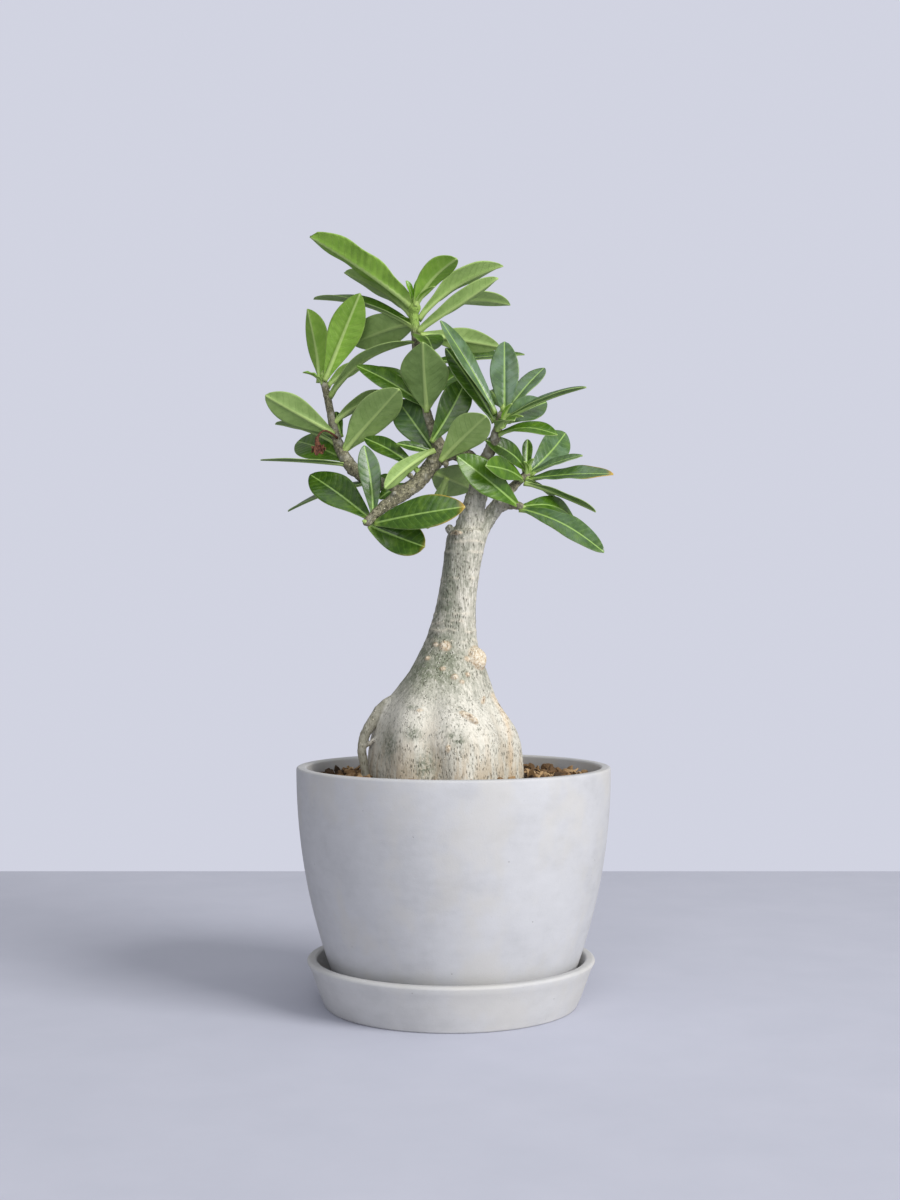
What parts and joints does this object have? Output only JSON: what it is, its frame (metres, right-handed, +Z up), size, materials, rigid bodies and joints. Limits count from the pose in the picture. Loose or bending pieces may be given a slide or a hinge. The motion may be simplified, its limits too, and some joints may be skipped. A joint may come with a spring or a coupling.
{
  "type": "potted desert rose adenium",
  "caption": "Desert rose succulent with a swollen lobed caudex, slim forked branches and glossy rounded leaves, in a plain tapered round pot on its saucer.",
  "frame": {"origin": "on the table, under the middle of the pot, in the plane of the saucer's underside", "axes": "+Z up along the trunk, +X to the plant's right as seen from the front, +Y to its back"},
  "size_m": [0.2252, 0.2006, 0.4899],
  "materials": {
    "moulded_shell": "matte, faintly speckled pale warm grey",
    "bark_mix": "rough, dry chips",
    "bark": "matte grey-green bark with tan scars and dark pores",
    "leaf": "glossy dark green above, pale matte green below",
    "young_leaf": "soft sheen, bright green",
    "dry_petal": "dry, crumpled, brown"
  },
  "bodies": {
    "root": {"caudex_and_branches": "bark", "leaf_centre_1": "leaf", "leaf_centre_10": "leaf", "leaf_centre_11": "leaf", "leaf_centre_2": "leaf", "leaf_centre_3": "leaf", "leaf_centre_4": "leaf", "leaf_centre_5": "leaf", "leaf_centre_6": "leaf", "leaf_centre_7": "leaf", "leaf_centre_8": "leaf", "leaf_centre_9": "leaf", "leaf_far_right_1": "leaf", "leaf_far_right_2": "leaf", "leaf_far_right_3": "leaf", "leaf_far_right_4": "leaf", "leaf_far_right_5": "leaf", "leaf_far_right_6": "leaf", "leaf_left_1": "leaf", "leaf_left_2": "leaf", "leaf_left_3": "leaf", "leaf_left_4": "leaf", "leaf_left_5": "leaf", "leaf_left_6": "leaf", "leaf_low_left_1": "leaf", "leaf_low_left_2": "leaf", "leaf_low_left_3": "leaf", "leaf_low_left_4": "leaf", "leaf_low_left_5": "leaf", "leaf_right_1": "leaf", "leaf_right_2": "leaf", "leaf_right_3": "leaf", "leaf_right_4": "leaf", "leaf_right_5": "leaf", "leaf_right_6": "leaf", "leaf_right_7": "leaf", "leaf_right_8": "leaf", "leaf_right_stub_1": "leaf", "leaf_right_stub_2": "leaf", "leaf_right_stub_3": "leaf", "leaf_top_1": "leaf", "leaf_top_10": "leaf", "leaf_top_11": "leaf", "leaf_top_2": "leaf", "leaf_top_3": "leaf", "leaf_top_4": "leaf", "leaf_top_5": "leaf", "leaf_top_6": "leaf", "leaf_top_7": "leaf", "leaf_top_8": "leaf", "leaf_top_9": "leaf", "leaf_top_left_1": "leaf", "leaf_top_left_2": "leaf", "leaf_top_left_3": "leaf", "leaf_top_left_4": "leaf", "pot": "moulded_shell", "potting_mix": "bark_mix", "saucer": "moulded_shell"}
  },
  "joints": []
}
